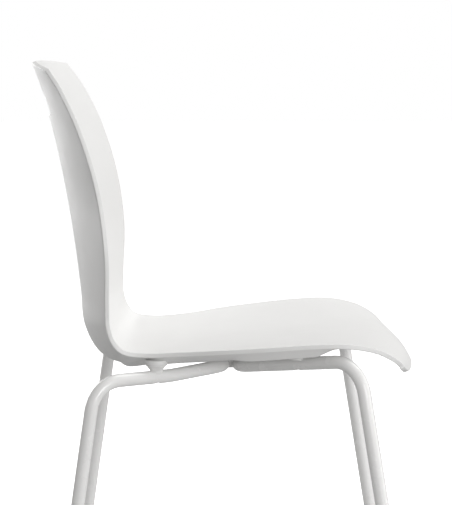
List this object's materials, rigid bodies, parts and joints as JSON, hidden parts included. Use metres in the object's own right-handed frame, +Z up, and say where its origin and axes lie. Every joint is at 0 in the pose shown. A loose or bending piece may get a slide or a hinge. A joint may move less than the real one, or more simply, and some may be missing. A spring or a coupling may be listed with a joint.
{
  "type": "stacking chair",
  "caption": "Armless stacking chair: a moulded bucket shell with a hand hole in the back, screwed to two bent steel tube hoops.",
  "frame": {"origin": "on the floor, under the middle of the chair's bounding box", "axes": "+Z up; -Y the way the sitter faces; +X the sitter's left. Mirror-symmetric about the plane X = 0"},
  "size_m": [0.5288, 0.5336, 0.8265],
  "materials": {
    "shell": "satin moulded polypropylene, white",
    "frame": "white powder coat on steel tube",
    "spacer": "white nylon",
    "screw": "zinc plated",
    "insert": "plain",
    "glide": "grey nylon"
  },
  "bodies": {
    "root": {"seat_shell": "shell", "rear_frame_hoop": "frame", "front_frame_hoop": "frame", "crossbar_weld_right": "frame", "crossbar_weld_left": "frame", "rear_spacer_right": "spacer", "rear_spacer_left": "spacer", "front_spacer_right": "spacer", "front_spacer_left": "spacer", "seat_screw_rear_right": "screw", "threaded_insert_rear_right": "insert", "foot_glide_rear_right": "glide", "seat_screw_rear_left": "screw", "threaded_insert_rear_left": "insert", "foot_glide_rear_left": "glide", "seat_screw_front_right": "screw", "threaded_insert_front_right": "insert", "foot_glide_front_right": "glide", "seat_screw_front_left": "screw", "threaded_insert_front_left": "insert", "foot_glide_front_left": "glide"}
  },
  "joints": []
}
